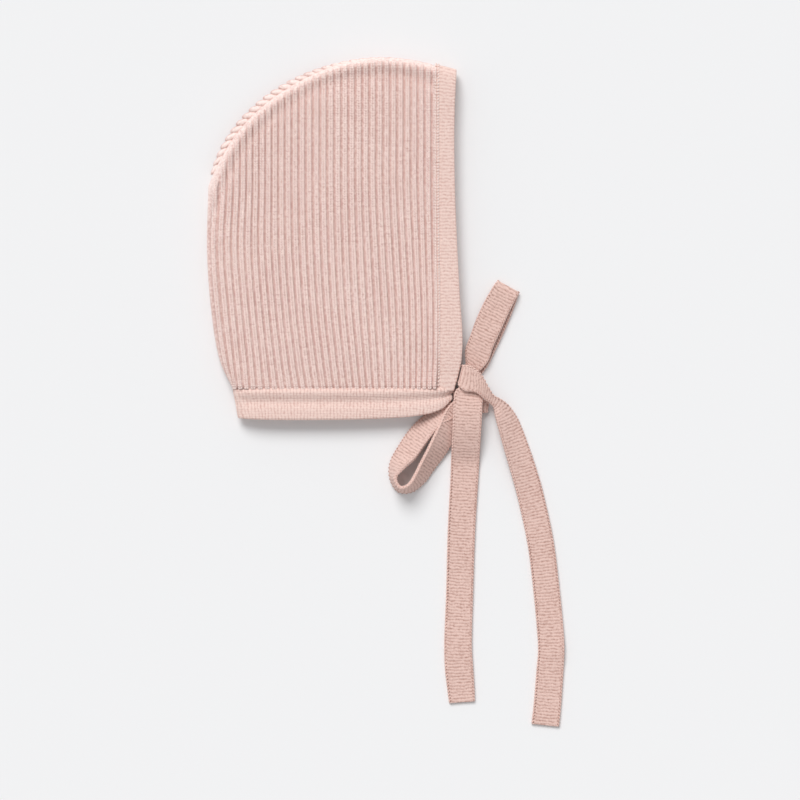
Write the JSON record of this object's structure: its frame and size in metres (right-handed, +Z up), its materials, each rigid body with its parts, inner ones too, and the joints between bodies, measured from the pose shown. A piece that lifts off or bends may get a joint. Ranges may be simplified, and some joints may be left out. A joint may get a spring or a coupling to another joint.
{
  "type": "baby bonnet",
  "caption": "Rib-knit baby bonnet with a face band, a neck band and two knitted ties in a bow, folded flat on its side.",
  "frame": {"origin": "centre of the bonnet's outline in plan, on the surface that it lies on", "axes": "+X from the back of the head to the face, +Y from the neck up to the crown along the longest side, +Z up from the surface, the thin way"},
  "size_m": [0.1785, 0.3344, 0.0134],
  "materials": {
    "rib_knit": "fine one-by-one rib knit in dusty pink cotton, matte",
    "band_knit": "fine folded plain-knit band in dusty pink cotton, matte",
    "tie_knit": "fine knitted tape in dusty pink cotton, matte"
  },
  "bodies": {
    "root": {"rib_body": "rib_knit", "face_band": "band_knit", "neck_band": "band_knit", "near_tie": "tie_knit", "far_tie": "tie_knit"}
  },
  "joints": []
}
